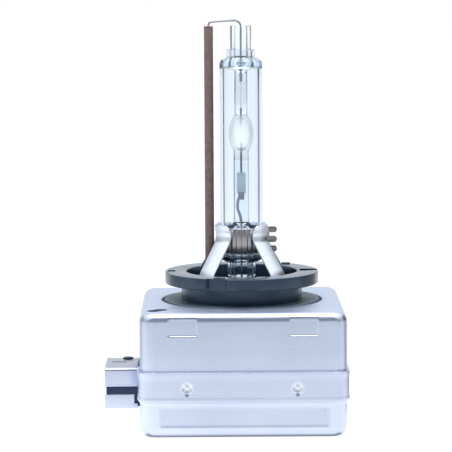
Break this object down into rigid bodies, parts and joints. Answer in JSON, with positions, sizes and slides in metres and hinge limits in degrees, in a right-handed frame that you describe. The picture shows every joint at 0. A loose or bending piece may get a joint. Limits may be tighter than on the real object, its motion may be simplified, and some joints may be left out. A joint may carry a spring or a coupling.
{
  "type": "gas-discharge headlight bulb",
  "caption": "Gas-discharge headlight bulb: clear quartz burner clamped in a black locating ring, on a square metal ignitor box with a side connector.",
  "frame": {"origin": "on the lamp axis, at the flat underside of the metal ignitor box", "axes": "+Z along the lamp axis from the box towards the burner's tip; -Y is the front with the two punch marks; the connector leaves on -X"},
  "size_m": [0.0498, 0.043, 0.084],
  "materials": {
    "can_steel": "brushed, bluish nickel-plated sheet",
    "ring_plastic": "moulded, satin black",
    "seal_rubber": "matte",
    "band_steel": "drawn stainless, slightly heat-tinted",
    "leg_steel": "bright rolled spring steel",
    "outer_glass": "clear, pale blue",
    "quartz": "clear fused quartz",
    "tungsten": "drawn, grey",
    "foil": "thin rolled foil",
    "wire": "drawn, smooth",
    "ceramic": "unglazed, fine speckle",
    "contact_brass": "stamped",
    "housing_plastic": "moulded, fine texture",
    "ferrite": "sintered, dark grey",
    "bobbin_plastic": "moulded",
    "copper": "enamelled copper wire",
    "gap_ceramic": "glazed",
    "film_case": "moulded case",
    "resistor_body": "lacquered",
    "potting": "cast compound",
    "connector_plastic": "moulded, satin black",
    "pin_plating": "plated"
  },
  "bodies": {
    "root": {"upper_can": "can_steel", "lower_can": "can_steel", "base_ring": "ring_plastic", "base_seal": "seal_rubber", "clamp_band": "band_steel", "leg_front_left": "leg_steel", "leg_front_right": "leg_steel", "leg_rear_left": "leg_steel", "leg_rear_right": "leg_steel", "outer_glass": "outer_glass", "arc_tube": "quartz", "upper_electrode": "tungsten", "lower_electrode": "tungsten", "upper_foil": "foil", "lower_foil": "foil", "return_wire": "wire", "lower_lead": "wire", "ceramic_tube": "ceramic", "high_voltage_contact": "contact_brass", "return_contact": "contact_brass", "ignitor_housing": "housing_plastic", "housing_cover": "housing_plastic", "transformer_core": "ferrite", "transformer_bobbin": "bobbin_plastic", "secondary_winding": "copper", "primary_winding": "copper", "spark_gap": "gap_ceramic", "capacitor": "film_case", "bleed_resistor": "resistor_body", "lead_frame": "contact_brass", "potting_bed": "potting", "connector_shroud": "connector_plastic", "connector_upper_shield": "can_steel", "connector_lower_shield": "can_steel", "connector_pins": "pin_plating"}
  },
  "joints": []
}
